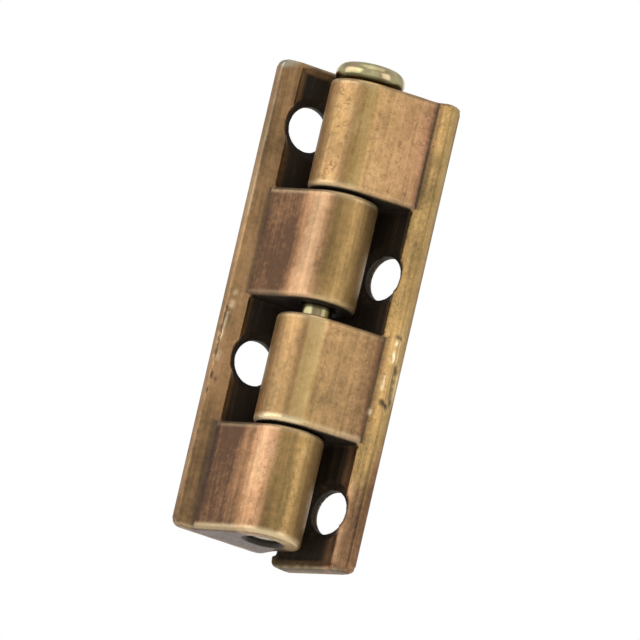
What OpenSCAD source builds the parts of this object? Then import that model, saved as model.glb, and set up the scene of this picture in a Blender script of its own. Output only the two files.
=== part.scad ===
// Cabinet hinge of two matching cast leaves whose knuckles share one headed pin.
// The leaf that is screwed to the cabinet frame lies with its mounting face in the plane y = 0.
// Its two screw holes are at equal heights above and below the origin, and the pin stands in front.
// The door leaf is the same casting turned end for end, and comes away once the pin is drawn up.

/* [Pose] */
// Angle between the two leaves on their knuckle side, as the hinge is shown
opening_angle = 109; // [30:0.5:118]
// Height of the gap between a door leaf knuckle and the frame leaf knuckle under it
knuckle_lift = 0.3; // [0.1:0.05:0.8]

/* [Leaf] */
// Length of each leaf along the pin
leaf_length = 60; // [58:1:76]
// Distance from the pin's axis to the leaf's outer edge, along the leaf
outer_reach = 9.2; // [9:0.1:14]
// Distance from the pin's axis to the leaf's inner edge, on the other side of the pin
inner_reach = 3.4; // [2.2:0.1:3.6]
// Distance from the mounting face to the pin's axis
axis_height = 7.5; // [7.2:0.1:9]
// Thickness of the leaf in its recesses
floor_thickness = 1.6; // [1.3:0.1:1.7]
// Thickness of the leaf at its outer edge
edge_thickness = 1.5; // [0.8:0.1:1.8]
// Height of the rim's ridge and of the lip at the tail, above the mounting face
ridge_height = 2.2; // [2:0.1:2.4]
// Distance from the pin's axis to the rim's ridge
ridge_reach = 6.9; // [6.8:0.1:7.1]
// Width of the flat top of the ridge
ridge_width = 0.15; // [0.1:0.05:0.3]
// Width of the hollow curve between the ridge and the floor of a recess
cove_width = 1.3; // [1:0.1:1.8]
// Width of the lip across the end of the tail
lip_width = 0.6; // [0.4:0.1:1]
// Radius of the tail's corner on the pin's side
inner_corner_radius = 1.4; // [0.5:0.1:2.6]
// Radius of the corners at the outer edge
outer_corner_radius = 1; // [0.4:0.1:1.8]
// Radius along the back of the inner edge
back_edge_radius = 0.8; // [0.3:0.1:1]
// Radius along the front of the outer edge
front_edge_radius = 0.3; // [0.15:0.05:0.5]
// Radius along the front edges of the leaf's two ends
end_edge_radius = 0.4; // [0.2:0.05:0.5]

/* [Knuckles] */
// Outer diameter of a knuckle's barrel
barrel_diameter = 9.2; // [8:0.1:10.2]
// Length of a knuckle along the pin
knuckle_length = 14; // [11:0.5:14]
// Spare length in the notch that the other leaf's knuckle turns in
notch_play = 2; // [1:0.1:3]
// Distance from the pin's axis to the crease where a knuckle's flank meets the rim
crease_reach = 7.2; // [7.1:0.1:7.8]
// Radius of the rounded edges at both ends of a knuckle
knuckle_end_radius = 0.6; // [0.2:0.05:0.8]

/* [Screw holes] */
// Diameter of the hole for the screw
screw_hole_diameter = 5.6; // [4:0.1:6]
// Diameter of the countersink at the floor of the recess
countersink_diameter = 7.6; // [6.5:0.1:8]
// Depth of the countersink below the floor of the recess
countersink_depth = 0.7; // [0.5:0.1:1]
// Distance from the pin's axis to the screw holes, along the leaf
screw_reach = 3.4; // [3:0.1:3.6]
// Height of the screw hole between the knuckles above the leaf's own end
screw_height = 22.4; // [20:0.1:23]
// Distance between the two screw holes
screw_spacing = 30; // [29:0.5:34]

/* [Pin] */
// Diameter of the pin
pin_diameter = 4; // [3:0.1:5]
// Clearance between the pin and its bore, all round
pin_clearance = 0.05; // [0.03:0.01:0.1]
// Width of the bevel at the mouth of the bore
bore_bevel = 0.45; // [0.2:0.05:0.8]
// Distance that the pin's lower end stops short of the frame leaf's end
pin_recess = 0.5; // [0.2:0.1:1.5]
// Width of the bevel at the pin's lower end
pin_bevel = 0.5; // [0.2:0.1:0.8]
// Diameter of the pin's head
head_diameter = 8.6; // [7:0.1:9]
// Height of the pin's head at its rim, up to where its rounding ends
head_height = 2.4; // [1.8:0.1:3.2]
// Height that the head's crown rises above that
crown_height = 0.3; // [0.1:0.05:0.6]
// Radius round the top of the head
head_top_radius = 1; // [0.5:0.1:1.2]
// Radius round the underside of the head
head_under_radius = 0.5; // [0.2:0.1:0.6]

/* [Hidden] */
$fn = 96;
bronze = "#8c6d48";
dark_bronze = "#7d6040";
steel = "#b3a988";
barrel_radius = barrel_diameter / 2;
notch_length = knuckle_length + notch_play;
second_knuckle = knuckle_length + notch_length;
tail_start = second_knuckle + knuckle_length;
tail_length = leaf_length - tail_start;
upper_screw_height = screw_height + screw_spacing;
// The frame leaf's own end, below the origin, and the plan position of the pin
leaf_base = -(screw_height + upper_screw_height) / 2;
pin_centre = [screw_reach, -axis_height];
// The door leaf hangs with its end knuckle's upper face here, which the pin's head rests on
door_top = leaf_base + tail_start + knuckle_length + knuckle_lift;
pin_foot = leaf_base + pin_recess;
// Hollow curve from the ridge to the floor: an arc that is level where it reaches the floor
cove_rise = ridge_height - floor_thickness;
cove_radius = (cove_width * cove_width + cove_rise * cove_rise) / (2 * cove_rise);
// A recess runs out to here, at the foot of the ridge's flat top
recess_reach = ridge_reach - ridge_width;
cove_start = recess_reach - cove_width;
// Length by which a cutting shape runs past the metal that it cuts
over = 20;

// Height of the rim's sloping front at a distance from the pin's axis
function rim_height(reach) =
    ridge_height - (ridge_height - edge_thickness) * (reach - ridge_reach) / (outer_reach - ridge_reach);

// Section points of a leaf: x runs from the pin's axis to the outer edge, y from the mounting face
rim_front = [outer_reach, edge_thickness];
ridge = [ridge_reach, ridge_height];
crease = [crease_reach, rim_height(crease_reach)];
axis = [0, axis_height];
// The flank runs up from the crease a little inside the line that just touches the barrel, so that
// it meets the barrel in one clean line
flank_bite = 0.05;
flank_radius = barrel_radius - flank_bite;
crease_turn = atan2(crease.y - axis.y, crease.x - axis.x);
flank_turn = crease_turn + acos(flank_radius / norm(crease - axis));
flank_out = [cos(flank_turn), sin(flank_turn)];

// What a rounding of radius r removes from the corner at p between its neighbours a and b
module corner_waste(p, a, b, r) {
    to_a = (a - p) / norm(a - p);
    to_b = (b - p) / norm(b - p);
    half = acos(to_a * to_b) / 2;
    inward = (to_a + to_b) / norm(to_a + to_b);
    centre = p + inward * r / sin(half);
    reach = r / tan(half);
    difference() {
        polygon([p - inward * r, p + to_a * reach, centre, p + to_b * reach]);
        translate(centre) circle(r);
    }
}

// A straight bar below a face through p that looks along turn, with its two end edges rounded
module rounded_bar(p, turn, from, to, r) {
    translate([p.x, p.y, 0])
        rotate([90, 0, turn])
            translate([0, 0, -over])
                linear_extrude(2 * over)
                    difference() {
                        translate([-over, from]) square([over, to - from]);
                        corner_waste([0, from], [-over, from], [0, to], r);
                        corner_waste([0, to], [-over, to], [0, from], r);
                    }
}

// Section of the plate before its recesses are cut
module plate_section() {
    back_inner = [-inner_reach, 0];
    back_outer = [outer_reach, 0];
    front_inner = [-inner_reach, ridge_height];
    difference() {
        polygon([back_inner, back_outer, rim_front, ridge, front_inner]);
        corner_waste(rim_front, back_outer, ridge, front_edge_radius);
        corner_waste(back_inner, back_outer, front_inner, back_edge_radius);
    }
}

// Plate with the end edges of its front rounded
module plate_blank() {
    rim_turn = atan2(outer_reach - ridge_reach, ridge_height - edge_thickness);
    intersection() {
        linear_extrude(leaf_length) plate_section();
        rounded_bar(ridge, rim_turn, 0, leaf_length, end_edge_radius);
        rounded_bar([0, ridge_height], 90, 0, leaf_length, end_edge_radius);
    }
}

// Section of a recess above its floor, from the given reach on the inner side to the cove
module recess_section(reach) {
    translate([-reach, floor_thickness]) square([reach + cove_start, over]);
    translate([cove_start, floor_thickness + cove_radius]) circle(cove_radius);
}

// Recess between the knuckles, open at the inner edge
module notch_recess() {
    translate([0, 0, knuckle_length])
        linear_extrude(notch_length)
            recess_section(over);
}

// Recess of the tail, whose cove runs on round its end, where a lip closes it
module tail_recess() {
    lip_start = leaf_length - lip_width;
    intersection() {
        translate([0, 0, tail_start])
            linear_extrude(tail_length)
                recess_section(over);
        // The same section again, looking along the leaf, which runs out where the lip starts
        translate([0, 0, lip_start - recess_reach])
            rotate([0, -90, 0])
                translate([0, 0, -over])
                    linear_extrude(2 * over)
                        recess_section(over + recess_reach);
    }
}

// One knuckle: a barrel with rounded ends, and the flank and foot that join it to the plate
module knuckle() {
    foot_top = [-inner_reach, axis_height];
    foot_inner = [-inner_reach, 0];
    foot_outer = [crease_reach, 0];
    // The flank runs on this far under the rim, and this much outside its face is cut back to it
    spare = 1;
    flank_root = crease + spare * [sin(flank_turn), -cos(flank_turn)];
    translate([axis.x, axis.y, 0])
        rotate_extrude()
            difference() {
                square([barrel_radius, knuckle_length]);
                corner_waste([barrel_radius, 0], [0, 0], [barrel_radius, knuckle_length],
                             knuckle_end_radius);
                corner_waste([barrel_radius, knuckle_length], [0, knuckle_length], [barrel_radius, 0],
                             knuckle_end_radius);
            }
    intersection() {
        linear_extrude(knuckle_length)
            difference() {
                polygon([
                    foot_inner,
                    foot_outer,
                    flank_root + spare * flank_out,
                    axis + (barrel_radius + spare) * flank_out,
                    axis,
                    foot_top
                ]);
                corner_waste(foot_inner, foot_outer, foot_top, back_edge_radius);
            }
        rounded_bar(crease, flank_turn, 0, knuckle_length, knuckle_end_radius);
    }
}

// Bore of one knuckle for the pin, bevelled at both mouths
module knuckle_bore() {
    bore_radius = pin_diameter / 2 + pin_clearance;
    mouth_radius = bore_radius + bore_bevel;
    translate([axis.x, axis.y, 0]) {
        translate([0, 0, -over]) cylinder(h = 2 * over + knuckle_length, r = bore_radius);
        cylinder(h = bore_bevel, r1 = mouth_radius, r2 = bore_radius);
        translate([0, 0, knuckle_length - bore_bevel])
            cylinder(h = bore_bevel, r1 = bore_radius, r2 = mouth_radius);
    }
}

// Screw hole through the plate, countersunk from the recess
module screw_hole(height) {
    hole_radius = screw_hole_diameter / 2;
    sink_radius = countersink_diameter / 2;
    translate([screw_reach, 0, height])
        rotate([-90, 0, 0]) {
            translate([0, 0, -over]) cylinder(h = 2 * over, r = hole_radius);
            translate([0, 0, floor_thickness - countersink_depth])
                cylinder(h = countersink_depth, r1 = hole_radius, r2 = sink_radius);
            translate([0, 0, floor_thickness]) cylinder(h = over, r = sink_radius);
        }
}

// Rounding of the leaf's corners as seen from its front
module plan_corners() {
    outer_foot = [outer_reach, 0];
    outer_end = [outer_reach, leaf_length];
    inner_end = [-inner_reach, leaf_length];
    rotate([90, 0, 0])
        translate([0, 0, -over])
            linear_extrude(2 * over) {
                corner_waste(outer_foot, [0, 0], outer_end, outer_corner_radius);
                corner_waste(outer_end, inner_end, outer_foot, outer_corner_radius);
                corner_waste(inner_end, [-inner_reach, 0], outer_end, inner_corner_radius);
            }
}

// Plate with its recesses, screw holes and rounded corners
module plate() {
    difference() {
        plate_blank();
        notch_recess();
        tail_recess();
        screw_hole(screw_height);
        screw_hole(upper_screw_height);
        plan_corners();
    }
}

// One leaf as cast, standing on its end knuckle
module leaf() {
    difference() {
        union() {
            plate();
            for (start = [0, second_knuckle])
                translate([0, 0, start]) knuckle();
        }
        for (start = [0, second_knuckle])
            translate([0, 0, start]) knuckle_bore();
    }
}

// Leaf that is screwed to the cabinet frame
module frame_leaf() {
    color(dark_bronze)
        translate([pin_centre.x, 0, leaf_base])
            rotate([0, 0, 180])
                leaf();
}

// Leaf that is screwed to the door: turned end for end and swung to the opening angle
module door_leaf() {
    color(bronze)
        translate([pin_centre.x, pin_centre.y, door_top])
            rotate([0, 0, opening_angle - 180])
                rotate([180, 0, 0])
                    translate([0, -axis_height, 0])
                        leaf();
}

// Headed pin through all four knuckles, its head resting on the door leaf
module hinge_pin() {
    shank_radius = pin_diameter / 2;
    head_radius = head_diameter / 2;
    rim_top = [head_radius, head_height];
    // The crown is a slice of a ball that is as wide as the head's flat top
    crown_width = head_radius - head_top_radius;
    crown_radius = (crown_width * crown_width + crown_height * crown_height) / (2 * crown_height);
    color(steel)
        translate([pin_centre.x, pin_centre.y, door_top]) {
            rotate_extrude()
                difference() {
                    square([head_radius, head_height]);
                    corner_waste(rim_top, [0, head_height], [head_radius, 0], head_top_radius);
                    corner_waste([head_radius, 0], [0, 0], rim_top, head_under_radius);
                }
            intersection() {
                translate([0, 0, head_height + crown_height - crown_radius]) sphere(crown_radius);
                translate([0, 0, head_height - crown_height]) cylinder(h = over, r = crown_width);
            }
            translate([0, 0, pin_foot - door_top])
                rotate_extrude()
                    polygon([
                        [0, 0],
                        [shank_radius - pin_bevel, 0],
                        [shank_radius, pin_bevel],
                        [shank_radius, door_top - pin_foot + head_under_radius],
                        [0, door_top - pin_foot + head_under_radius]
                    ]);
        }
}

frame_leaf();
door_leaf();
hinge_pin();
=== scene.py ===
"""Looks of a cast cabinet hinge: two antique bronze leaves and a bright headed pin.

The leaves' shapes come from the CAD nodes. Each gets the soft edges, pits and scars of a worn casting,
and numbers at its points that say where its plating is rubbed bright and where dirt sits, and where
highlights and shade are painted into its colour.
"""

from __future__ import annotations

import logging
import math
from dataclasses import dataclass
from enum import Enum

import bpy
import numpy as np
from mathutils import Matrix

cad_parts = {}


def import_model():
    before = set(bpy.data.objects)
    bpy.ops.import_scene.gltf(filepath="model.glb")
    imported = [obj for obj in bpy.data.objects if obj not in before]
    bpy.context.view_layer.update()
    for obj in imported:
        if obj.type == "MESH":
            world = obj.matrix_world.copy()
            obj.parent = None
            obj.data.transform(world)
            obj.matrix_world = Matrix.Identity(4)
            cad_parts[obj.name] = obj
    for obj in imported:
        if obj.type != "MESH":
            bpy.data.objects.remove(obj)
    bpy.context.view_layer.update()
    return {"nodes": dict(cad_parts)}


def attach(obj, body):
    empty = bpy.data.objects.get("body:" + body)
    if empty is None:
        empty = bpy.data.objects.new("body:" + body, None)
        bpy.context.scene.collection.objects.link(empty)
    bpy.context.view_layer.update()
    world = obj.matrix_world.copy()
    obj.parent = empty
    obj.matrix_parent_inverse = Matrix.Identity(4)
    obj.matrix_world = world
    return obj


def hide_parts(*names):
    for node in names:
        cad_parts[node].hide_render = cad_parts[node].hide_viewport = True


LOG = logging.getLogger("hinge")
MM = 0.001
WHITE = "#ffffff"
# A mix node has several inputs and outputs of one name, so its colours go by number
MIX_UNDER, MIX_OVER, MIXED = 6, 7, 2
# Marks at a leaf's points: amounts add up in the first three, and the greatest counts in the others
ADDED = ("tone", "blush", "brass")
GREATEST = ("dirt_and_shade", "wear_and_highlight", "zinc")
Socket = bpy.types.NodeSocket


class Side(Enum):
    """The two leaves, which are one casting turned end for end."""

    FRAME = "frame_leaf"
    DOOR = "door_leaf"


# Helpers for colours, nodes and meshes


def linear(code: str) -> tuple[float, float, float, float]:
    """Turns an sRGB hex colour into the linear colour that shaders take, by the standard's curve.

    Args:
        code: Six hex digits after a hash sign.

    Returns:
        Linear red, green and blue, and an alpha of one.
    """
    raw = [int(code[i : i + 2], 16) / 255 for i in (1, 3, 5)]
    parts = [c / 12.92 if c <= 0.04045 else ((c + 0.055) / 1.055) ** 2.4 for c in raw]
    return (parts[0], parts[1], parts[2], 1.0)


def add_node(tree: bpy.types.NodeTree, kind: str, settings: dict[str, object] | None = None,
             inputs: dict[str | int, object] | None = None) -> bpy.types.Node:
    """Adds one shader node.

    Args:
        tree: Node tree that gets it.
        kind: Blender's name of the node type.
        settings: Values for its properties, by name.
        inputs: For the name or number of each input, the output that feeds it or its constant.

    Returns:
        The new node.
    """
    node = tree.nodes.new(kind)
    for name, value in (settings or {}).items():
        setattr(node, name, value)
    for name, value in (inputs or {}).items():
        if isinstance(value, Socket):
            tree.links.new(value, node.inputs[name])
        else:
            node.inputs[name].default_value = value
    return node


def empty_tree(owner: bpy.types.Material | bpy.types.World) -> bpy.types.NodeTree:
    """Clears the nodes of a material or of the surroundings.

    Args:
        owner: What the nodes belong to.

    Returns:
        Its empty node tree.
    """
    owner.use_nodes = True
    owner.node_tree.nodes.clear()
    return owner.node_tree


def add_object(name: str, data: bpy.types.ID) -> bpy.types.Object:
    """Puts a mesh, a light or a camera into the scene.

    Args:
        name: Name of the object.
        data: What it shows.

    Returns:
        The new object, at the origin.
    """
    thing = bpy.data.objects.new(name, data)
    bpy.context.scene.collection.objects.link(thing)
    return thing


def placement(right: np.ndarray, up: np.ndarray, back: np.ndarray, spot: np.ndarray) -> Matrix:
    """Works out where a camera or a light stands.

    Args:
        right: Direction to its right.
        up: Direction of its upper side.
        back: Direction away from what it looks at.
        spot: Its place in metres.

    Returns:
        The matrix that turns and moves it.
    """
    matrix = Matrix(np.column_stack([right, up, back]).tolist()).to_4x4()
    matrix.translation = spot.tolist()
    return matrix


def wave_sum(points: np.ndarray, length: float, seed: int, count: int = 28) -> np.ndarray:
    """Smooth noise: many sine waves of about one length, each in a random direction.

    The value is the sum of the sines of each wave's phase at the place, times the root of two over
    their number.

    Args:
        points: Places in mm, one row each.
        length: Wave length in mm.
        seed: Seed of the directions and phases.
        count: Number of waves.

    Returns:
        One value per place, with a spread of about one.
    """
    rng = np.random.default_rng(seed)
    ways = rng.normal(size=(count, 3))
    ways /= np.linalg.norm(ways, axis=1, keepdims=True)
    stretch = rng.uniform(0.7, 1.4, size=(count, 1))
    phase = rng.uniform(0, 2 * math.pi, size=count)
    waves = np.sin(points @ (ways * stretch).T * (2 * math.pi / length) + phase)
    return waves.sum(axis=1) * math.sqrt(2 / count)


def smoothstep(low: float | np.ndarray, high: float | np.ndarray, value: np.ndarray) -> np.ndarray:
    """Goes from 0 at low to 1 at high with level ends, by the cubic 3t^2 - 2t^3; high may be the lesser."""
    t = np.clip((value - low) / (high - low), 0, 1)
    return t * t * (3 - 2 * t)


def read_rows(items: bpy.types.bpy_prop_collection, name: str, width: int, kind: type) -> np.ndarray:
    """Reads one property of all points or edges of a mesh.

    Args:
        items: The points, their normals or the edges.
        name: Name of the property.
        width: How many numbers each one has.
        kind: Their type in the mesh.

    Returns:
        One row for each.
    """
    flat = np.empty(len(items) * width, kind)
    items.foreach_get(name, flat)
    return flat.reshape(-1, width)


def read_points(mesh: bpy.types.Mesh) -> np.ndarray:
    """Places of a mesh's points, one row each."""
    return read_rows(mesh.vertices, "co", 3, np.float32).astype(float)


def read_normals(mesh: bpy.types.Mesh) -> np.ndarray:
    """Normals at a mesh's points, one row each."""
    return read_rows(mesh.vertex_normals, "vector", 3, np.float32).astype(float)


def read_edges(mesh: bpy.types.Mesh) -> np.ndarray:
    """Pairs of point numbers, one row per edge."""
    return read_rows(mesh.edges, "vertices", 2, np.int32)


def write_points(mesh: bpy.types.Mesh, points: np.ndarray) -> None:
    """Puts new places into a mesh's points."""
    mesh.vertices.foreach_set("co", points.astype(np.float32).ravel())
    mesh.update()


def neighbour_mean(values: np.ndarray, edges: np.ndarray) -> np.ndarray:
    """Mean of each point's neighbours along its edges.

    Args:
        values: A number or a row of numbers for each point.
        edges: Pairs of point numbers.

    Returns:
        The means, in the form of the values.
    """
    table = values.reshape(len(values), -1)
    total = np.zeros_like(table)
    for a, b in ((0, 1), (1, 0)):
        for column in range(table.shape[1]):
            total[:, column] += np.bincount(edges[:, a], table[edges[:, b], column], len(table))
    number = np.bincount(edges.ravel(), minlength=len(table))[:, None]
    return (total / np.maximum(number, 1)).reshape(values.shape)


def set_radius(points: np.ndarray, plane: list[int], centre: tuple[float, float], radius: float,
               chosen: np.ndarray) -> None:
    """Moves points straight from or to an axis, so that they lie at its hole's radius.

    Args:
        points: Places in mm, which are changed.
        plane: The two columns that lie across the axis.
        centre: The axis's place in them.
        radius: Radius of the hole in mm.
        chosen: True for each point that moves.
    """
    out = points[:, plane] - centre
    # Chosen points lie farther from the axis than this, which only keeps the division sound
    least = 0.1
    scale = np.where(chosen, radius / np.maximum(np.hypot(*out.T), least), 1.0)
    points[:, plane] = out * scale[:, None] + centre


def store(mesh: bpy.types.Mesh, name: str, values: np.ndarray) -> None:
    """Keeps one number per point in the mesh, for its material to read."""
    layer = mesh.attributes.new(name, "FLOAT", "POINT")
    layer.data.foreach_set("value", np.clip(values, 0, 1).astype(np.float32))


def turned_mesh(name: str, surface: np.ndarray) -> bpy.types.Mesh:
    """Mesh of a turned shape: a grid that closes on itself round the axis, with a pole at each end.

    Args:
        name: Name of the mesh.
        surface: Places, rows along the profile by columns round the axis by 3. The first row is one
            pole, and the last row is the other.

    Returns:
        A closed mesh whose faces point outwards when the rows run up and the columns run anticlockwise.
    """
    rows, columns = surface.shape[0] - 2, surface.shape[1]
    r, c = np.meshgrid(np.arange(rows - 1), np.arange(columns), indexing="ij")
    nxt = (c + 1) % columns
    low, high = r * columns, (r + 1) * columns
    faces = np.stack([low + c, low + nxt, high + nxt, high + c], -1).reshape(-1, 4).tolist()
    ring = np.arange(columns)
    after = (ring + 1) % columns
    top = (rows - 1) * columns
    foot_pole, top_pole = rows * columns, rows * columns + 1
    faces += np.stack([after, ring, np.full(columns, foot_pole)], -1).tolist()
    faces += np.stack([top + ring, top + after, np.full(columns, top_pole)], -1).tolist()
    points = np.vstack([surface[1:-1].reshape(-1, 3), surface[0, :1], surface[-1, :1]])
    mesh = bpy.data.meshes.new(name)
    mesh.from_pydata(points.tolist(), [], faces)
    mesh.update()
    return mesh


# Finishes


@dataclass(frozen=True)
class AntiqueBronze:
    """Antique bronze: a zinc casting plated with copper and bronze, darkened, brushed and lacquered.

    To the eye it is a soft satin metal, sandy gold where the brush took the dark coat off, olive and
    purple brown where the coat stayed, copper pink where the bronze is thin, and black in its recesses.
    Its colour also holds painted highlights, painted reflections and painted shade.
    """

    name: str
    # Three hues from dark coat to brushed metal: brown bronze, pinker copper and yellower brass
    bronze: tuple[str, ...] = ("#5a4636", "#8f7750", "#c09a66", "#e0bc86")
    copper: tuple[str, ...] = ("#5c4434", "#936b4e", "#c69672", "#e6bd96")
    brass: tuple[str, ...] = ("#463a1e", "#8c7a46", "#bc9c58", "#dcc07a")
    stops: tuple[float, ...] = (0.0, 0.34, 0.66, 1.0)
    # Dark colour of dirt and of painted shade
    dirt_and_shade: str = "#221606"
    # Pale colour of rubbed metal and of painted highlights
    rubbed_and_highlight: str = "#f4dbae"
    zinc: str = "#c3c6b4"
    # Fine brushed lines are about 0.12 mm wide and 5 mm long, broad bands about 0.6 mm by 14 mm
    line_width_mm: float = 0.12
    line_length_mm: float = 5.0
    band_width_mm: float = 0.6
    band_length_mm: float = 14.0
    # Cloudy patches of more copper or more brass are about 5 mm across, and small ones left by the
    # casting's skin about 0.7 mm
    cloud_mm: float = 5.0
    mottle_mm: float = 0.7
    # The casting's grain is about 0.3 mm across. Its pits are short winding grooves about 0.1 mm wide,
    # which lie in swarms about 1 mm across
    grain_mm: float = 0.3
    pit_mm: float = 0.6
    swarm_mm: float = 1.1
    # How far lines, bands, clouds and mottle swing the tone, and how far clouds swing the hue
    line_swing: float = 0.18
    band_swing: float = 0.5
    cloud_swing: float = 0.6
    mottle_swing: float = 0.5
    hue_swing: float = 0.8
    # A pit is a groove where its noise is this close to a half, and where the swarm's noise is past these
    groove: float = 0.055
    swarm: tuple[float, float] = (0.5, 0.58)
    pit_dirt: float = 0.32
    # Dirt and painted shade lie in streaks: this much of them everywhere, and this much more by the bands
    dirt_and_shade_least: float = 0.75
    dirt_and_shade_streaks: float = 0.5
    # Dirt and painted shade are a dull coat, and hide this share of the metal
    dirt_and_shade_cover: float = 0.85
    # Roughness of the metal, how the grain varies it, and what dirt and painted shade, and rubbing and
    # painted highlights add to it
    roughness: float = 0.36
    grain_rough: tuple[float, float] = (-0.06, 0.08)
    dirt_and_shade_rough: float = 0.3
    wear_and_highlight_rough: float = -0.1
    # Relief of the grain, and of the lines and pits beside it
    relief: float = 0.45
    relief_mm: float = 0.02
    line_height: float = 0.5
    pit_height: float = -2.0

    def hue(self, tree: bpy.types.NodeTree, codes: tuple[str, ...], tone: Socket) -> Socket:
        """Adds a colour ramp from dark coat to brushed metal.

        Args:
            tree: The material's node tree.
            codes: Its hex colours, one for each stop.
            tone: Output with the place along the ramp.

        Returns:
            The output with the colour.
        """
        ramp = add_node(tree, "ShaderNodeValToRGB", None, {"Fac": tone})
        while len(ramp.color_ramp.elements) < len(self.stops):
            ramp.color_ramp.elements.new(0.5)
        for element, at, code in zip(ramp.color_ramp.elements, self.stops, codes):
            element.position = at
            element.color = linear(code)
        return ramp.outputs["Color"]

    def patterns(self, tree: bpy.types.NodeTree, place: Socket) -> dict[str, bpy.types.Node]:
        """Adds every noise of the finish, each of which lies about a half.

        Args:
            tree: The material's node tree.
            place: Output with the place on the piece.

        Returns:
            The noise nodes by name.
        """
        noises = {}
        for name, width, length in (("lines", self.line_width_mm, self.line_length_mm),
                                    ("bands", self.band_width_mm, self.band_length_mm)):
            scale = (1 / (width * MM), 1 / (width * MM), 1 / (length * MM))
            drawn = add_node(tree, "ShaderNodeMapping", None, {"Vector": place, "Scale": scale})
            noises[name] = add_node(tree, "ShaderNodeTexNoise", None, {
                "Vector": drawn.outputs[0], "Scale": 1.0, "Detail": 2.0, "Roughness": 0.55})
        for name, size, form in (("clouds", self.cloud_mm, {"Detail": 4.0, "Roughness": 0.6}),
                                 ("mottle", self.mottle_mm, {"Detail": 3.0, "Roughness": 0.7}),
                                 ("grain", self.grain_mm, {"Detail": 2.0, "Roughness": 0.6}),
                                 ("grooves", self.pit_mm, {"Detail": 1.0, "Distortion": 0.6}),
                                 ("swarm", self.swarm_mm, {"Detail": 1.0})):
            noises[name] = add_node(tree, "ShaderNodeTexNoise", None, {
                "Vector": place, "Scale": 1 / (size * MM), **form})
        return noises

    def pit(self, tree: bpy.types.NodeTree, noises: dict[str, bpy.types.Node], share: Socket) -> Socket:
        """Adds the pits: a groove runs where its noise crosses a half, and only inside a swarm.

        Args:
            tree: The material's node tree.
            noises: The noise nodes by name.
            share: Output with how pitted the place is.

        Returns:
            The output with a pit's depth, from 0 to 1.
        """
        off = add_node(tree, "ShaderNodeMath", {"operation": "SUBTRACT"},
                       {0: noises["grooves"].outputs["Fac"], 1: 0.5})
        away = add_node(tree, "ShaderNodeMath", {"operation": "ABSOLUTE"}, {0: off.outputs[0]})
        groove = add_node(tree, "ShaderNodeMapRange", {"interpolation_type": "SMOOTHSTEP"},
                          {"Value": away.outputs[0], "From Min": self.groove, "From Max": 0.0})
        crowd = add_node(tree, "ShaderNodeMapRange", {"interpolation_type": "SMOOTHSTEP"},
                         {"Value": noises["swarm"].outputs["Fac"], "From Min": self.swarm[0],
                          "From Max": self.swarm[1]})
        depth = groove.outputs["Result"]
        for factor in (crowd.outputs["Result"], share):
            both = add_node(tree, "ShaderNodeMath", {"operation": "MULTIPLY"}, {0: depth, 1: factor})
            depth = both.outputs[0]
        return depth

    def colour(self, tree: bpy.types.NodeTree, noises: dict[str, bpy.types.Node],
               marks: dict[str, Socket], depth: Socket) -> Socket:
        """Adds the colour: patina by tone and hue, then dirt and painted shade, rubbed metal and painted
        highlights, and bare zinc over it.

        Args:
            tree: The material's node tree.
            noises: The noise nodes by name.
            marks: Outputs with the points' marks, by name.
            depth: Output with how thick dirt and painted shade lie.

        Returns:
            The output that feeds the shader's base colour.
        """
        tone = marks["tone"]
        for name, swing in (("lines", self.line_swing), ("bands", self.band_swing),
                            ("clouds", self.cloud_swing), ("mottle", self.mottle_swing)):
            share = add_node(tree, "ShaderNodeMath", {"operation": "MULTIPLY_ADD"},
                             {0: noises[name].outputs["Fac"], 1: swing, 2: -swing / 2})
            tone = add_node(tree, "ShaderNodeMath", {"operation": "ADD"},
                            {0: tone, 1: share.outputs[0]}).outputs[0]
        shift = add_node(tree, "ShaderNodeMath", {"operation": "MULTIPLY_ADD"},
                         {0: noises["clouds"].outputs["Color"], 1: self.hue_swing, 2: -self.hue_swing / 2})
        blush = add_node(tree, "ShaderNodeMath", {"operation": "ADD", "use_clamp": True},
                         {0: shift.outputs[0], 1: marks["blush"]})
        shade = self.hue(tree, self.bronze, tone)
        for share, over in ((blush.outputs[0], self.hue(tree, self.copper, tone)),
                            (marks["brass"], self.hue(tree, self.brass, tone)),
                            (depth, linear(self.dirt_and_shade)), (marks["wear_and_highlight"], linear(self.rubbed_and_highlight)),
                            (marks["zinc"], linear(self.zinc))):
            mixed = add_node(tree, "ShaderNodeMix", {"data_type": "RGBA"},
                             {"Factor": share, MIX_UNDER: shade, MIX_OVER: over})
            shade = mixed.outputs[MIXED]
        return shade

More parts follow.
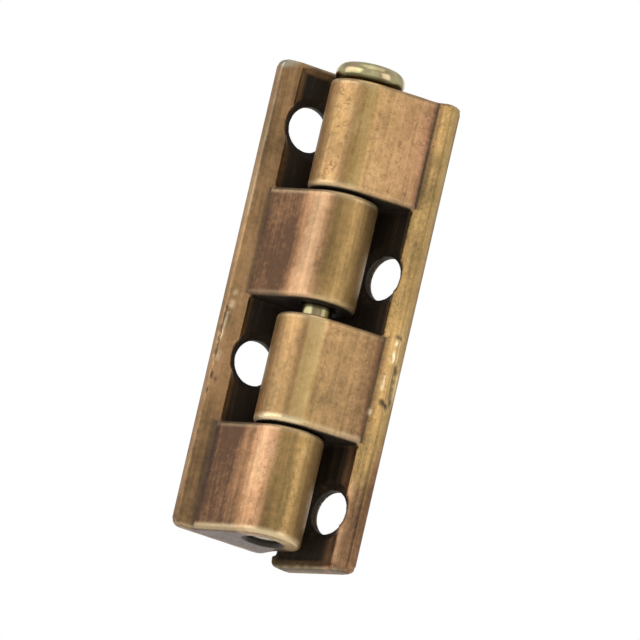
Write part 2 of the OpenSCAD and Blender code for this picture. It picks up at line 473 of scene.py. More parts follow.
    def material(self) -> bpy.types.Material:
        """Builds the node material, which reads the points' marks.

        Returns:
            The material.
        """
        made = bpy.data.materials.new(self.name)
        tree = empty_tree(made)
        place = add_node(tree, "ShaderNodeTexCoord").outputs["Object"]
        marks = {name: add_node(tree, "ShaderNodeAttribute", {"attribute_name": name}).outputs["Fac"]
                 for name in ADDED + GREATEST + ("pits",)}
        noises = self.patterns(tree, place)
        lines, bands, grain = (noises[name].outputs["Fac"] for name in ("lines", "bands", "grain"))
        pit = self.pit(tree, noises, marks["pits"])
        streaks = add_node(tree, "ShaderNodeMath", {"operation": "MULTIPLY_ADD"},
                           {0: bands, 1: self.dirt_and_shade_streaks, 2: self.dirt_and_shade_least})
        depth = add_node(tree, "ShaderNodeMath", {"operation": "MULTIPLY", "use_clamp": True},
                         {0: marks["dirt_and_shade"], 1: streaks.outputs[0]}).outputs[0]
        depth = add_node(tree, "ShaderNodeMath", {"operation": "MULTIPLY_ADD", "use_clamp": True},
                         {0: pit, 1: self.pit_dirt, 2: depth}).outputs[0]
        metal = add_node(tree, "ShaderNodeMath", {"operation": "MULTIPLY_ADD"},
                         {0: depth, 1: -self.dirt_and_shade_cover, 2: 1.0})
        smoother, rougher = (self.roughness + change for change in self.grain_rough)
        rough = add_node(tree, "ShaderNodeMapRange", None,
                         {"Value": grain, "From Min": 0.3, "From Max": 0.7, "To Min": smoother,
                          "To Max": rougher}).outputs["Result"]
        for source, change in ((depth, self.dirt_and_shade_rough), (marks["wear_and_highlight"], self.wear_and_highlight_rough)):
            rough = add_node(tree, "ShaderNodeMath", {"operation": "MULTIPLY_ADD"},
                             {0: source, 1: change, 2: rough}).outputs[0]
        height = grain
        for source, rise in ((lines, self.line_height), (pit, self.pit_height)):
            height = add_node(tree, "ShaderNodeMath", {"operation": "MULTIPLY_ADD"},
                              {0: source, 1: rise, 2: height}).outputs[0]
        bump = add_node(tree, "ShaderNodeBump", None,
                        {"Strength": self.relief, "Distance": self.relief_mm * MM, "Height": height})
        skin = add_node(tree, "ShaderNodeBsdfPrincipled", None,
                        {"Base Color": self.colour(tree, noises, marks, depth), "Roughness": rough,
                         "Metallic": metal.outputs[0], "Normal": bump.outputs[0]})
        add_node(tree, "ShaderNodeOutputMaterial", None, {"Surface": skin.outputs[0]})
        return made


@dataclass(frozen=True)
class BrightPlating:
    """Bright passivated zinc on a turned steel pin.

    To the eye it is a glossy metal of a pale straw colour with faint rose and green, as thin films have.
    """

    name: str = "passivated_zinc_on_turned_steel"
    pale: str = "#e0d7a2"
    rose: str = "#c9a08c"
    green: str = "#8e9146"
    # Dark colour of the painted shade under the head and of the darker shank
    dirt_and_shade: str = "#2a2110"
    # The passivation's colours lie in patches about 2 mm across: each starts and is full where the noise
    # is past these, and covers this share
    patch_mm: float = 2.0
    patch: tuple[float, float] = (0.35, 0.7)
    patch_share: float = 0.6
    # Rings left by the turning tool are 0.15 mm apart, and drift across the pin by 60 waves a metre
    ring_mm: float = 0.15
    ring_drift: float = 60.0
    # Shallow dents as wide as the patches stand beside the rings in this proportion
    dents: float = 12.0
    relief: float = 0.3
    relief_mm: float = 0.01
    roughness: float = 0.18

    def material(self) -> bpy.types.Material:
        """Builds the node material, which reads how far each point is painted dark: painted shade under the
        head, and a darker shank.

        Returns:
            The material.
        """
        made = bpy.data.materials.new(self.name)
        tree = empty_tree(made)
        place = add_node(tree, "ShaderNodeTexCoord").outputs["Object"]
        # How dark each point is painted: painted shade under the head, and a darker shank
        pin_darkening = add_node(tree, "ShaderNodeAttribute", {"attribute_name": "dirt_and_shade"}).outputs["Fac"]
        patches = add_node(tree, "ShaderNodeTexNoise", None,
                           {"Vector": place, "Scale": 1 / (self.patch_mm * MM), "Detail": 2.0})
        shares = add_node(tree, "ShaderNodeSeparateColor", None, {"Color": patches.outputs["Color"]})
        layers = []
        for channel, code in (("Red", self.rose), ("Green", self.green)):
            share = add_node(tree, "ShaderNodeMapRange", {"interpolation_type": "SMOOTHSTEP"},
                             {"Value": shares.outputs[channel], "From Min": self.patch[0],
                              "From Max": self.patch[1], "To Max": self.patch_share})
            layers.append((share.outputs["Result"], code))
        shade = linear(self.pale)
        for share, code in (*layers, (pin_darkening, self.dirt_and_shade)):
            mixed = add_node(tree, "ShaderNodeMix", {"data_type": "RGBA"},
                             {"Factor": share, MIX_UNDER: shade, MIX_OVER: linear(code)})
            shade = mixed.outputs[MIXED]
        scale = (self.ring_drift, self.ring_drift, 1 / (self.ring_mm * MM))
        drawn = add_node(tree, "ShaderNodeMapping", None, {"Vector": place, "Scale": scale})
        rings = add_node(tree, "ShaderNodeTexNoise", None,
                         {"Vector": drawn.outputs[0], "Scale": 1.0, "Detail": 2.0})
        height = add_node(tree, "ShaderNodeMath", {"operation": "MULTIPLY_ADD"},
                          {0: patches.outputs["Fac"], 1: self.dents, 2: rings.outputs["Fac"]})
        bump = add_node(tree, "ShaderNodeBump", None, {
            "Strength": self.relief, "Distance": self.relief_mm * MM, "Height": height.outputs[0]})
        skin = add_node(tree, "ShaderNodeBsdfPrincipled", None,
                        {"Base Color": shade, "Metallic": 1.0, "Roughness": self.roughness,
                         "Normal": bump.outputs[0]})
        add_node(tree, "ShaderNodeOutputMaterial", None, {"Surface": skin.outputs[0]})
        return made


# How the leaves have aged


@dataclass(frozen=True)
class Gouge:
    """A scar: metal is pushed in along a short line. Own places and lengths in mm."""

    start: tuple[float, float, float]
    end: tuple[float, float, float]
    width: float
    depth: float
    # How far it is stained, rubbed bright, and down to the zinc, from 0 to 1
    stain: float
    shine: float
    zinc: float = 0.0

    def nearness(self, points: np.ndarray) -> np.ndarray:
        """One on the scar's line, falling to zero at its width by the cubic step of the distance.

        Args:
            points: Own places.

        Returns:
            One value per place.
        """
        a, b = np.array(self.start), np.array(self.end)
        # A scar that starts where it ends is a dot, which the least length keeps sound
        along = np.clip((points - a) @ (b - a) / max((b - a) @ (b - a), 1e-6), 0, 1)
        away = np.linalg.norm(points - a - along[:, None] * (b - a), axis=1)
        return 1 - smoothstep(0.0, self.width, away)


@dataclass(frozen=True)
class Shade:
    """How the coat differs where a mask lies: each mark gets the mask times its amount."""

    mask: np.ndarray
    # From the dark coat to brushed metal, towards copper, and towards brass; on some faces these paint
    # reflections
    tone: float = 0.0
    blush: float = 0.0
    brass: float = 0.0
    # Thickness of dirt and painted shade, brightness of rubbed metal and painted highlights, and bare zinc
    dirt_and_shade: float = 0.0
    wear_and_highlight: float = 0.0
    zinc: float = 0.0


def blend(shades: list[Shade], mark: str) -> np.ndarray:
    """Value of one mark: amounts add up in tone, blush and brass, and the greatest counts in the others."""
    amounts = [shade.mask * getattr(shade, mark) for shade in shades]
    return np.add.reduce(amounts) if mark in ADDED else np.maximum.reduce(amounts)


@dataclass(frozen=True)
class Regions:
    """Where each point of a leaf lies: lengths in mm, angles in degrees, and masks from 0 to 1."""

    points: np.ndarray
    normals: np.ndarray
    # Distances from the pin's axis and from the nearer screw hole's, and the turn about the pin's axis,
    # which is zero towards the outer edge and ninety straight out of the front
    radius: np.ndarray
    hole: np.ndarray
    turned: np.ndarray
    # Height above the start of the tail, depth below the tail's end, and reach beyond the ridge
    above_tail: np.ndarray
    from_end: np.ndarray
    past_ridge: np.ndarray
    # Whether it is as high up as the first or the second knuckle, counted from the leaf's own end
    first: np.ndarray
    second: np.ndarray
    # The front, what stands up from it, the knuckles and the sloping rim
    front: np.ndarray
    raised: np.ndarray
    knuckle: np.ndarray
    rim: np.ndarray
    # Distance from the crease between knuckle and rim, and how far the flank is climbed from there, which
    # is one where the barrel starts
    crease: np.ndarray
    climb: np.ndarray
    # Faces that look along the pin
    end_face: np.ndarray
    # The outer edge, and how far a face leans from the front: 17 on the rim, and 90 on the outer side
    edge: np.ndarray
    lean: np.ndarray

    @property
    def x(self) -> np.ndarray:
        """Reach from the pin's axis towards the outer edge."""
        return self.points[:, 0]

    @property
    def y(self) -> np.ndarray:
        """Height above the mounting face."""
        return self.points[:, 1]

    @property
    def z(self) -> np.ndarray:
        """Height above the leaf's own end."""
        return self.points[:, 2]

    @property
    def beside(self) -> np.ndarray:
        """Both sides of the crease, up to about a millimetre away."""
        return smoothstep(1.1, 0.3, self.crease) * (self.first | self.second)


@dataclass(frozen=True)
class Coat:
    """What the two leaves' plating has in common. Amounts run from 0 to 1."""

    # Own reach at which dirt fills the cove beside the tail
    cove_reach: float
    # How bright the painted highlights on the rounded ends of its knuckles are, from its own end up, and
    # how much of that goes on along the flank
    end_highlight: tuple[float, float, float, float]
    flank_share: float
    pit_share: float
    # Tone and blush of the whole leaf, and what a slow drift and the knuckles add to the tone
    tone: float
    blush: float
    drift_tone: float = 0.06
    knuckle_tone: float = 0.2

    def shades(self, at: Regions, drift: np.ndarray) -> list[Shade]:
        """Lists the shades of the whole leaf.

        Args:
            at: Where the points lie.
            drift: Slow noise about zero.

        Returns:
            The shades that both leaves have.
        """
        return [Shade(np.ones(len(drift)), tone=self.tone, blush=self.blush),
                Shade(drift, tone=self.drift_tone), Shade(at.knuckle, tone=self.knuckle_tone)]

    def pits(self, at: Regions) -> np.ndarray:
        """How pitted the casting is: most on its first barrel, less on that one's flank, least elsewhere."""
        on_first = np.where(at.turned > 26, 1.0, 0.6)
        return self.pit_share * np.where(at.raised & at.first, on_first, 0.4)


@dataclass(frozen=True)
class FrameCoat(Coat):
    """The frame leaf's plating: its flanks have kept the dark coat, and its barrels are olive, partly as a
    painted reflection.
    """

    def shades(self, at: Regions, drift: np.ndarray) -> list[Shade]:
        """Lists the leaf's shades.

        Args:
            at: Where the points lie.
            drift: Slow noise about zero.

        Returns:
            All its shades.
        """
        flank = at.knuckle * smoothstep(50, 40, at.turned)
        # The part of a barrel that looks towards the camera and past it, whose colour paints the reflections
        # seen there
        facing = at.knuckle * smoothstep(46, 64, at.turned)
        # The dark coat thins out up the flank, and is rubbed off where the flank turns into the barrel
        first = flank * at.first
        first *= 1 - 0.5 * smoothstep(0.35, 0.85, at.climb) - 0.45 * smoothstep(0.8, 1.0, at.climb)
        second = flank * at.second * (1 - smoothstep(0.58, 0.98, at.climb))
        # A painted highlight stripe along the second barrel, where its flank turns into it
        highlight_stripe = at.knuckle * at.second * smoothstep(0.85, 1.0, at.climb) * smoothstep(48, 38, at.turned)
        middle = smoothstep(10, 18, at.z) * smoothstep(42, 34, at.z)
        # Painted light on the outer edge: its round is darker where a highlight line falls, and its side
        # lighter
        dimmed_round = at.edge * smoothstep(30, 45, at.lean) * smoothstep(78, 66, at.lean)
        side = at.edge * smoothstep(68, 84, at.lean) * smoothstep(54, 46, at.z) * smoothstep(2, 8, at.z)
        return super().shades(at, drift) + [
            Shade(at.knuckle, blush=0.2),
            # Painted reflection: the barrel is darker and olive where it looks towards the camera
            Shade(at.knuckle * facing, tone=-0.18),
            Shade(at.knuckle * flank, blush=0.2),
            Shade(facing, blush=-0.3, brass=0.4),
            Shade(first, tone=-0.84),
            Shade(second, tone=-0.74),
            Shade(second * smoothstep(33, 43, at.z), tone=0.24),
            # The painted highlight stripe
            Shade(highlight_stripe, wear_and_highlight=0.14),
            # Painted reflections: the first barrel is lighter on the far side, as a painted highlight, and
            # the second one darker
            Shade(facing * at.first * smoothstep(80, 96, at.turned), tone=0.2),
            Shade(facing * at.second, tone=0.1),
            Shade(facing * at.second * smoothstep(80, 90, at.turned), tone=-0.12),
            # The rim is darker towards both ends
            Shade(at.rim * smoothstep(44, 52, at.z), tone=-0.16),
            Shade(at.rim * smoothstep(20, 6, at.z), tone=-0.15),
            Shade(at.rim * middle, tone=0.11),
            Shade(at.rim * smoothstep(8.4, 7.3, at.x) * smoothstep(18, 10, at.z), dirt_and_shade=0.35),
            # A painted highlight along the rim's rounded own end
            Shade(at.rim * smoothstep(0.6, 0.25, at.z) * (1 - at.end_face), wear_and_highlight=0.3),
            # Painted light on the outer edge's round and side
            Shade(dimmed_round, tone=-0.2),
            Shade(side, tone=0.32),
            # Darker on both sides of its own end's crease, less so towards the end
            Shade(at.beside * at.first * (0.25 + 0.3 * smoothstep(1, 9, at.z)), dirt_and_shade=1.0),
        ]


@dataclass(frozen=True)
class DoorCoat(Coat):
    """The door leaf's plating: it is rubbed brighter than the other, with a gold rim and coppery creases."""

    def shades(self, at: Regions, drift: np.ndarray) -> list[Shade]:
        """Lists the leaf's shades.

        Args:
            at: Where the points lie.
            drift: Slow noise about zero.

        Returns:
            All its shades.
        """
        flank = at.knuckle * smoothstep(28, 20, at.turned)
        facing = at.knuckle * smoothstep(20, 32, at.turned) * smoothstep(58, 46, at.turned)
        low = flank * (1 - at.climb)
        lower = flank * (1 - at.climb) ** 1.5
        tail_rim = at.rim * smoothstep(1, 10, at.above_tail)
        # The rim is darkest at 22 mm, and as dark again each 32 mm from there
        wave = at.rim * np.cos((at.z - 22) * math.pi / 16)
        # The ridge beside the tail is rubbed down to the copper, with a painted highlight along it
        ridge = smoothstep(0.9, 0.1, np.abs(at.past_ridge - 0.2)) * at.front
        ridge *= smoothstep(3, 6, at.above_tail) * smoothstep(0.5, 1.5, at.from_end)
        # Painted reflection: the outer side is painted as bright as the rim, and so is part of the round
        # between them
        lit_outer_side = at.edge * smoothstep(6, -2, at.above_tail)
        upper = smoothstep(20, 32, at.lean) * smoothstep(62, 50, at.lean)
        lit_outer_side *= smoothstep(72, 86, at.lean) + 0.55 * upper
        return super().shades(at, drift) + [
            Shade(at.knuckle * at.second, tone=-0.06),
            # Painted reflection: the part of the barrel that looks towards the camera is olive brass and
            # lighter
            Shade(facing, brass=0.5),
            Shade(facing * at.first, tone=0.1),
            Shade(facing * at.second, tone=0.44),
            # The flanks are coppery and darker towards the crease
            Shade(low * at.first, tone=-0.15),
            Shade(low * at.second, tone=-0.3),
            Shade(lower * at.first, blush=0.6),
            Shade(lower * at.second, blush=0.4),
            Shade(at.beside, tone=-0.1, blush=0.4),
            Shade(at.rim, tone=0.04),
            Shade(tail_rim, tone=-0.3, blush=0.5),
            Shade(np.clip(at.rim - tail_rim, 0, 1), brass=0.3),
            Shade(wave, tone=-0.08),
            Shade(at.rim * smoothstep(5, 8, at.z) * smoothstep(15, 11, at.z), tone=-0.3),
            Shade((at.above_tail > 0) * smoothstep(3.5, 5.5, at.x) * (1 - at.rim), blush=0.7),
            # The rubbed copper ridge, with its painted highlight
            Shade(ridge, tone=0.3, blush=0.4, wear_and_highlight=0.12),
            # The painted reflection on the outer side
            Shade(lit_outer_side, tone=0.45, brass=0.3),
        ]


# Pieces


@dataclass
class CastLeaf:
    """One leaf as a worn casting, made from its CAD node. Lengths in mm, as in the part's source."""

    side: Side
    body: str
    slot: str
    finish: AntiqueBronze
    coat: Coat
    scars: tuple[Gouge, ...]
    seed: int
    screw_reach: float = 3.4
    axis_height: float = 7.5
    leaf_length: float = 60.0
    ridge_reach: float = 6.9
    ridge_height: float = 2.2
    crease: tuple[float, float] = (7.2, 2.11)
    flank_rise: float = 7.0
    floor_thickness: float = 1.6
    knuckle_length: float = 14.0
    notch_length: float = 16.0
    bore_radius: float = 2.05
    opening_angle: float = 109.0
    leaf_base: float = -37.4
    knuckle_lift: float = 0.3
    screw_hole_radius: float = 2.8
    countersink_radius: float = 3.8
    screw_heights: tuple[float, float] = (22.4, 52.4)
    lip_width: float = 0.6
    corner_radius: float = 1.4
    inner_reach: float = 3.4
    # Size of the mesh's squares, the distance within which points are one, and the height below which
    # points belong to the back
    voxel: float = 0.2
    weld: float = 0.001
    back_depth: float = 0.05
    # Steps that round every edge and even out the bend, and steps in all, which round the brushed edges.
    # The outer edge is brushed from the first of these reaches on, and fully from the second; the ridge
    # within the first of these distances, and fully within the second, by this share
    even_steps: int = 2
    soft_steps: int = 5
    outer_round: tuple[float, float] = (7.6, 8.9)
    ridge_round: tuple[float, float] = (0.7, 0.2)
    ridge_share: float = 0.6
    # The raised lip fades in between these depths below the tail's end, and rises by this share
    lip_fade: tuple[float, float] = (1.8, 1.45)
    lip_share: float = 0.8
    # Cast ripple: its height and its two wave lengths; and the wave length of a scar's uneven depth
    ripple: float = 0.005
    ripple_waves: tuple[float, float] = (2.6, 1.1)
    scar_wave: float = 0.8

    @property
    def second_start(self) -> float:
        """Height at which the second knuckle starts."""
        return self.knuckle_length + self.notch_length

    @property
    def tail_start(self) -> float:
        """Height at which the second knuckle ends and the tail starts."""
        return self.second_start + self.knuckle_length

    def own_frame(self) -> tuple[np.ndarray, np.ndarray]:
        """Turn and place of the leaf's own axes.

        Their x runs from the pin to the outer edge, y out of the front, and z from the leaf's own end.

        Returns:
            A 3 by 3 matrix whose columns are the own axes in the row frame, and the own origin, in mm.
        """
        if self.side is Side.FRAME:
            return np.diag([-1.0, -1.0, 1.0]), np.array([self.screw_reach, 0.0, self.leaf_base])
        swing = math.radians(180 - self.opening_angle)
        c, s = math.cos(swing), math.sin(swing)
        turn = np.array([[c, -s, 0], [-s, -c, 0], [0, 0, -1.0]])
        top = self.leaf_base + self.tail_start + self.knuckle_length + self.knuckle_lift
        pin = np.array([self.screw_reach, -self.axis_height, top])
        return turn, pin - turn @ np.array([0.0, self.axis_height, 0.0])

    def cast_mesh(self, node: bpy.types.Object) -> bpy.types.Mesh:
        """Makes an evenly meshed copy of the CAD node, in the leaf's own axes and in mm.

        Args:
            node: The CAD node, which is only read.

        Returns:
            A mesh of small squares that lie on the node's surface.
        """
        turn, origin = self.own_frame()
        exact = node.data.copy()
        write_points(exact, (read_points(exact) / MM - origin) @ turn)
        solid, shape = add_object("solid", exact), add_object("shape", exact.copy())
        for thing in (solid, shape):
            thing.modifiers.new("weld", "WELD").merge_threshold = self.weld
        even = shape.modifiers.new("even", "REMESH")
        even.mode = "VOXEL"
        even.voxel_size = self.voxel
        snap = shape.modifiers.new("snap", "SHRINKWRAP")
        snap.target = solid
        graph = bpy.context.evaluated_depsgraph_get()
        made = bpy.data.meshes.new_from_object(shape.evaluated_get(graph))
        for thing in (shape, solid):
            mesh = thing.data
            bpy.data.objects.remove(thing)
            bpy.data.meshes.remove(mesh)
        return made

    def bore_distance(self, points: np.ndarray) -> np.ndarray:
        """Distance of own places from the pin's axis."""
        return np.hypot(points[:, 0], points[:, 1] - self.axis_height)

    def hole_distance(self, points: np.ndarray) -> np.ndarray:
        """Distance of own places from the nearer screw hole's axis."""
        away = [np.hypot(points[:, 0] - self.screw_reach, points[:, 2] - z) for z in self.screw_heights]
        return np.minimum(*away)

    def soften(self, mesh: bpy.types.Mesh) -> np.ndarray:
        """Rounds the edges by moving points half the way to their neighbours' mean.

        The first steps round every edge a little. The others act on the outer edge and the ridge alone,
        which brushing has rounded most. Holes keep their size, and the back stays flat.

        Args:
            mesh: The even mesh, in own axes.

        Returns:
            The softened own places.
        """
        edges, points = read_edges(mesh), read_points(mesh)
        x, y = points[:, 0], points[:, 1]
        # The ridge's round takes in what lies up to 0.3 mm below its top
        ridge = smoothstep(*self.ridge_round, np.abs(x - self.ridge_reach)) * (y > self.ridge_height - 0.3)
        brushed = np.maximum(smoothstep(*self.outer_round, x), self.ridge_share * ridge)
        # Points within 0.4 mm of a screw hole's wall stay, and those of the back stay in its plane
        firm = self.hole_distance(points) < self.screw_hole_radius + 0.4
        flat = y < self.back_depth
        for step in range(self.soft_steps):
            weight = np.where(firm, 0.0, 1.0 if step < self.even_steps else brushed)
            shift = 0.5 * weight[:, None] * (neighbour_mean(points, edges) - points)
            shift[flat, 1] = 0.0
            points += shift
        # A screw hole's wall is what lies within 0.25 mm of it, below the countersink
        wall = (np.abs(self.hole_distance(points) - self.screw_hole_radius) < 0.25) & (points[:, 1] < 1.0)
        for height in self.screw_heights:
            mine = wall & (np.abs(points[:, 2] - height) < self.screw_hole_radius + 1)
            set_radius(points, [0, 2], (self.screw_reach, height), self.screw_hole_radius, mine)
        return points

    def turn_lip(self, points: np.ndarray) -> np.ndarray:
        """Carries the lip of the tail round the rounded corner on the pin's side, where it fades out.

        The height falls from the ridge to the floor by the cubic step of the distance from the outline,
        which is the distance to the corner's arc, or to the edge beyond it.

        Args:
            points: Own places.

        Returns:
            The places with the lip raised.
        """
        r = self.corner_radius
        cx, cz = r - self.inner_reach, self.leaf_length - r
        x, y, z = points.T
        inside = r - np.hypot(np.minimum(x - cx, 0), np.maximum(z - cz, 0))
        # It starts beside the other leaf's end knuckle, which passes over the tail when the door swings
        fade = smoothstep(*self.lip_fade, self.leaf_length - z) * (x < 1.0)
        # Its slope runs from 0.2 mm within its width to a millimetre beyond it
        rise = self.lip_share * smoothstep(self.lip_width + 1.0, self.lip_width - 0.2, inside) * fade
        # Only the tail's upper face is raised, from a little below the floor to just above the ridge
        top = (y > self.floor_thickness - 0.2) & (y < self.ridge_height + 0.05)
        lifted = y + (self.ridge_height - y) * rise
        return np.stack([x, np.where(top, np.maximum(y, lifted), y), z], -1)

    def shape_surface(self, points: np.ndarray, normals: np.ndarray) -> np.ndarray:
        """Sinks the scars into the faces and gives them a faint cast ripple, the bore and the back apart.

        Args:
            points: Own places.
            normals: Own normals there.

        Returns:
            The places with scars and ripple.
        """
        # The bore with 0.3 mm round it and the back are smooth
        quiet = (self.bore_distance(points) < self.bore_radius + 0.3) | (points[:, 1] < 0.1)
        long, short = self.ripple_waves
        waves = wave_sum(points, long, self.seed) + 0.5 * wave_sum(points, short, self.seed + 1)
        # Waves about zero are moved so that metal only goes in, by up to four times the ripple
        sink = np.where(quiet, 0.0, self.ripple * np.clip(2 - waves, 0, 4))
        # A scar's depth is uneven, and never turns into a bump
        rugged = np.maximum(0.7 + 0.3 * wave_sum(points, self.scar_wave, self.seed + 5), 0.1)
        for scar in self.scars:
            sink += scar.depth * scar.nearness(points) * rugged
        return points - normals * sink[:, None]

    def regions(self, points: np.ndarray, normals: np.ndarray) -> Regions:
        """Finds where each point lies.

        Args:
            points: Own places.
            normals: Own normals there.

        Returns:
            Its distances, angles and masks.
        """
        x, y, z = points.T
        # A knuckle's mask ends this far inside its ends, and starts this far above the crease
        gap = 0.1
        first = z < self.knuckle_length - gap
        second = (z > self.second_start + gap) & (z < self.tail_start - gap)
        # The finish differs between knuckle and rim on the front alone: the back is one flat face, and
        # the front begins on the sides, half a millimetre above it
        front = smoothstep(0.5, 1.6, y)
        raised = (first | second) & ((y > self.crease[1] + gap) | (x < self.ridge_reach))
        return Regions(
            points=points, normals=normals, radius=self.bore_distance(points),
            hole=self.hole_distance(points), turned=np.degrees(np.arctan2(y - self.axis_height, x)),
            above_tail=z - self.tail_start, from_end=self.leaf_length - z,
            past_ridge=x - self.ridge_reach, first=first, second=second, front=front, raised=raised,
            knuckle=raised * front, rim=(x > self.ridge_reach - 0.3) * ~raised * front,
            crease=np.hypot(x - self.crease[0], y - self.crease[1]),
            climb=np.clip((y - self.crease[1]) / self.flank_rise, 0, 1),
            end_face=smoothstep(0.75, 0.97, np.abs(normals[:, 2])),
            edge=(x > 8.3) * smoothstep(0.1, 0.4, y),
            lean=np.degrees(np.arctan2(normals[:, 0], normals[:, 1])))

    def hollows(self, at: Regions, bend: np.ndarray) -> list[Shade]:
        """Lists where the colour is darkened: dirt and dark patina in the hollows, and painted shade in the
        gaps, in the bore and on faces that turn away from the light.

        Args:
            at: Where the points lie.
            bend: How far a point stands out from its neighbours, in mm.

        Returns:
            The shades of dirt and painted shade.
        """
        x, y, at_tail = at.x, at.y, at.above_tail > 0
        recess = ~at.first & ~at.second & (y > 0.3) & (y < self.ridge_height + 0.1)
        cove = smoothstep(6.75, np.where(at_tail, self.coat.cove_reach, 5.6), x)
        lip = smoothstep(self.lip_width, self.lip_width + 0.8, at.from_end) ** 0.7
        # The narrow side beyond the pin is rubbed, unlike the floor beside it
        open_side = np.where(x < -2.9, smoothstep(0.2, 0.7, at.normals[:, 1]), 1.0)
        countersink = smoothstep(self.countersink_radius + 0.25, self.countersink_radius, at.hole)
        between = (at.z > 0.7) & (at.from_end > 0.5)
        knuckles = at.first | at.second
        tail_lip = smoothstep(7.2, 5.0, x) * smoothstep(1.1, 0.5, at.from_end) * (y > 1.0)
        return [
            # The recesses' floors and coves, and the countersinks in them: dark patina, and painted shade
            # where the coves turn away from the light
            Shade(cove * np.where(at_tail, lip, 1.0) * recess * open_side, dirt_and_shade=1.0),
            Shade(countersink * (y < 1.95) * (y > 0.1), dirt_and_shade=0.95),
            # Painted shade on the faces in the gaps between knuckles; the leaf's own two end faces are darker
            # too
            Shade(smoothstep(0.6, 0.9, np.abs(at.normals[:, 2])) * between, dirt_and_shade=1.0),
            Shade(at.end_face * (at.z < 0.5), dirt_and_shade=0.22),
            Shade(at.end_face * (at.from_end < 0.5), dirt_and_shade=0.5),
            # Painted shade in the bore with its bevel, a dark line in the crease with painted shade beside
            # it, and painted shade on the barrel's side that turns away from the rim
            Shade(smoothstep(self.bore_radius + 0.9, self.bore_radius + 0.5, at.radius), dirt_and_shade=1.0),
            Shade(knuckles * smoothstep(0.25, 0.05, at.crease), dirt_and_shade=0.75),
            Shade(knuckles * smoothstep(1.0, 0.1, at.crease), dirt_and_shade=0.25),
            Shade(at.knuckle * smoothstep(100, 125, at.turned), dirt_and_shade=0.35),
            # The lip, the back, and whatever lies a hundredth of a millimetre below its neighbours
            Shade(tail_lip, dirt_and_shade=0.7),
            Shade(smoothstep(0.3, 0.1, y), dirt_and_shade=0.3),
            Shade(smoothstep(0.003, 0.012, -bend) * (1 - at.rim), dirt_and_shade=0.6),
        ]

    def rubbing(self, at: Regions, bend: np.ndarray, patchy: np.ndarray, dirt_and_shade: np.ndarray) -> list[Shade]:
        """Lists where the coat is rubbed bright on clean edges, and the painted highlights on the knuckles'
        rounded ends.

        Args:
            at: Where the points lie.
            bend: How far a point stands out from its neighbours, in mm.
            patchy: Noise from 0 to 1 that breaks up what is rubbed.
            dirt_and_shade: How thick dirt and painted shade lie.

        Returns:
            The shades of wear and painted highlight.
        """
        # The outer edge is left out, because its coat has its own shades
        outer = smoothstep(7.4, 7.9, at.x) * (at.y < 2.5)
        brink = smoothstep(0.45, 0.15, at.from_end) * (1 - at.end_face) * (at.y > 1.2)
        shades = [
            Shade(smoothstep(0.006, 0.022, bend) * patchy * (1 - 0.8 * dirt_and_shade) * (1 - outer), wear_and_highlight=0.4),
            Shade(brink * (0.5 + 0.5 * patchy), wear_and_highlight=0.3),
        ]
        # A painted highlight lies on a knuckle's round this far from its end, and the band widens with its
        # brightness
        inset = 0.3
        ends = (inset, self.knuckle_length - inset, self.second_start + inset, self.tail_start - inset)
        flank = self.coat.flank_share
        for height, share in zip(ends, self.coat.end_highlight):
            near = smoothstep(0.55 + 0.3 * share, 0.25, np.abs(at.z - height))
            near *= (1 - at.end_face) * at.knuckle * (at.x > -3.2)
            near *= smoothstep(self.bore_radius + 0.8, self.bore_radius + 1.4, at.radius)
            near *= flank + (1 - flank) * smoothstep(20, 40, at.turned)
            # The painted highlight along the knuckle's rounded end
            shades.append(Shade(near, wear_and_highlight=share))
        return shades

    def scarring(self, at: Regions, patchy: np.ndarray) -> list[Shade]:
        """Lists the scars' stains and bright metal.

        Args:
            at: Where the points lie.
            patchy: Noise from 0 to 1 that breaks up the bare zinc.

        Returns:
            The shades of the scars.
        """
        shades = []
        for scar in self.scars:
            near = scar.nearness(at.points)
            shades.append(Shade(near, dirt_and_shade=scar.stain, wear_and_highlight=scar.shine))
            shades.append(Shade(near * (0.6 + 0.4 * patchy), zinc=scar.zinc))
        return shades

    def patina(self, points: np.ndarray, normals: np.ndarray, bend: np.ndarray) -> dict[str, np.ndarray]:
        """How worn, dirty, golden, coppery and pitted the casting is at each point, and where highlights and
        shade are painted.

        Args:
            points: Own places.
            normals: Own normals there.
            bend: How far a point stands out from its neighbours, in mm.

        Returns:
            Values from 0 to 1 by name, for the finish to read.
        """
        at = self.regions(points, normals)
        # Rubbed patches are about 1.4 mm wide and three times as long, and the drift's waves 11 mm
        patchy = np.clip(0.5 + 0.5 * wave_sum(points * [1, 1, 0.35], 1.4, self.seed + 2), 0, 1)
        drift = wave_sum(points * [1, 1, 0.6], 11.0, self.seed + 3)
        shades = self.hollows(at, bend)
        shades += self.rubbing(at, bend, patchy, blend(shades, "dirt_and_shade"))
        shades += self.scarring(at, patchy)
        shades += self.coat.shades(at, drift)
        marks = {mark: blend(shades, mark) for mark in ADDED + GREATEST}
        return {**marks, "pits": self.coat.pits(at)}

    def weather(self, mesh: bpy.types.Mesh) -> None:
        """Softens the edges, sinks scars and ripple into the faces, and stores what the finish reads.

        Args:
            mesh: The even mesh, in own axes.
        """
        edges = read_edges(mesh)
        points = self.turn_lip(self.soften(mesh))
        write_points(mesh, points)
        normals = read_normals(mesh)
        bend = np.einsum("ij,ij->i", points - neighbour_mean(points, edges), normals)
        for _ in range(self.even_steps):
            bend = 0.5 * bend + 0.5 * neighbour_mean(bend, edges)
        points = self.shape_surface(points, normals)
        # The bore keeps its size round the pin
        tight = self.bore_distance(points) < self.bore_radius + 0.12
        set_radius(points, [0, 1], (0.0, self.axis_height), self.bore_radius, tight)
        write_points(mesh, points)
        for name, values in self.patina(points, normals, bend).items():
            store(mesh, name, values)

